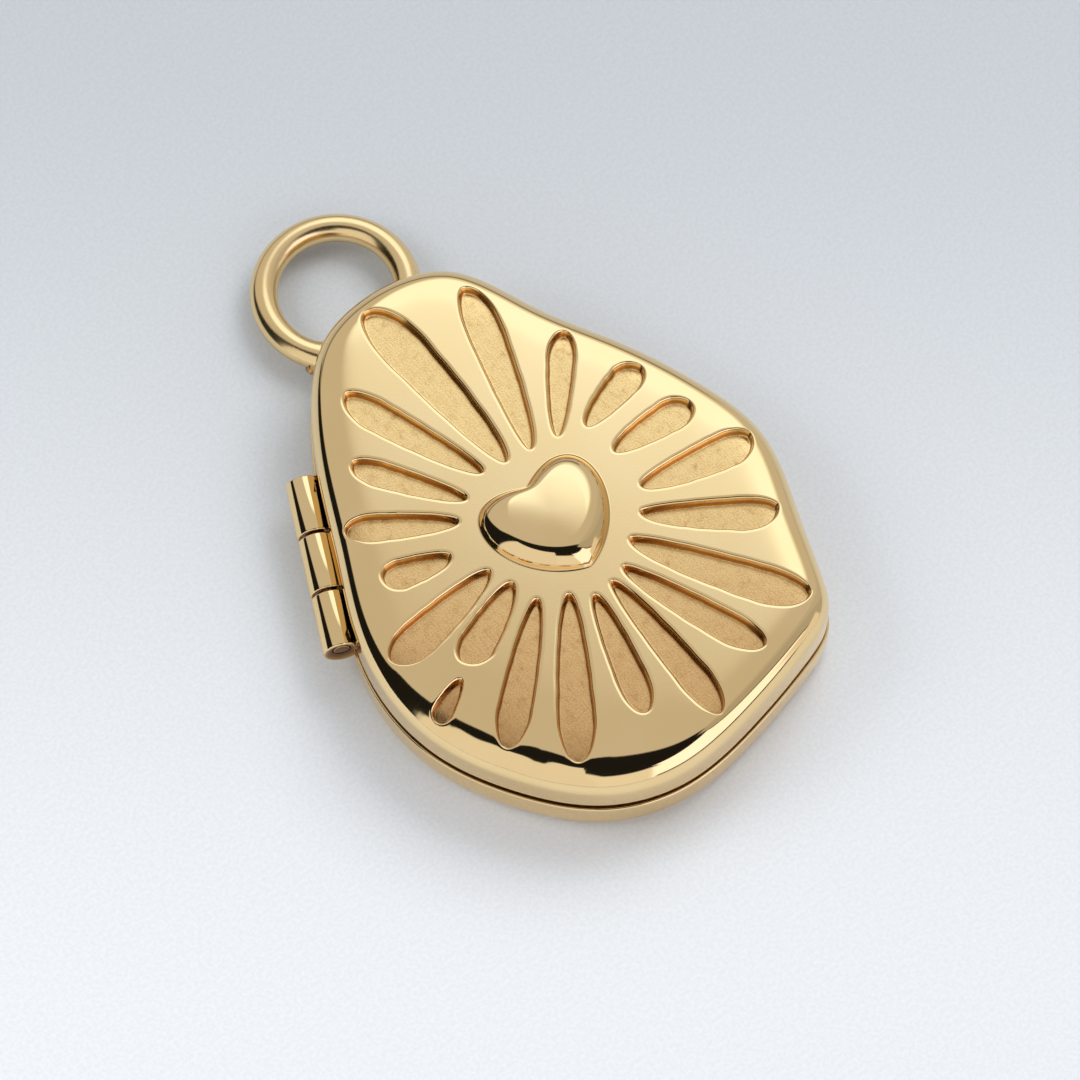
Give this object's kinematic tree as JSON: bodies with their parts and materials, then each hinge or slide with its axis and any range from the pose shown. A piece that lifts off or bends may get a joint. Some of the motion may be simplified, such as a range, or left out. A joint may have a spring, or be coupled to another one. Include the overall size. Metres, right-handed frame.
{
  "type": "hinged locket pendant",
  "caption": "Hinged pebble-shaped gold locket pendant with a raised heart in a sunburst of sunk petals, a knuckle hinge on the left and a bail ring on top.",
  "frame": {"origin": "bottom centre of the whole pendant as it lies on its back", "axes": "+Z out of the lid, which is the thickness; +Y towards the bail ring, along the pendant's length; +X away from the hinge"},
  "size_m": [0.0206, 0.0312, 0.0052],
  "materials": {
    "polished_gold": "polished, petal floors matt",
    "pin_gold": "polished"
  },
  "bodies": {
    "back": {"back_shell": "polished_gold", "hinge_pin": "pin_gold"},
    "lid": {"lid_shell": "polished_gold"}
  },
  "joints": [
    {"name": "lid_hinge", "type": "hinge", "parent": "back", "child": "lid", "pos_m": [-0.00787, 0.00152, 0.0019], "axis": [-0.4168, -0.909, 0], "range_deg": [0, 150]}
  ]
}
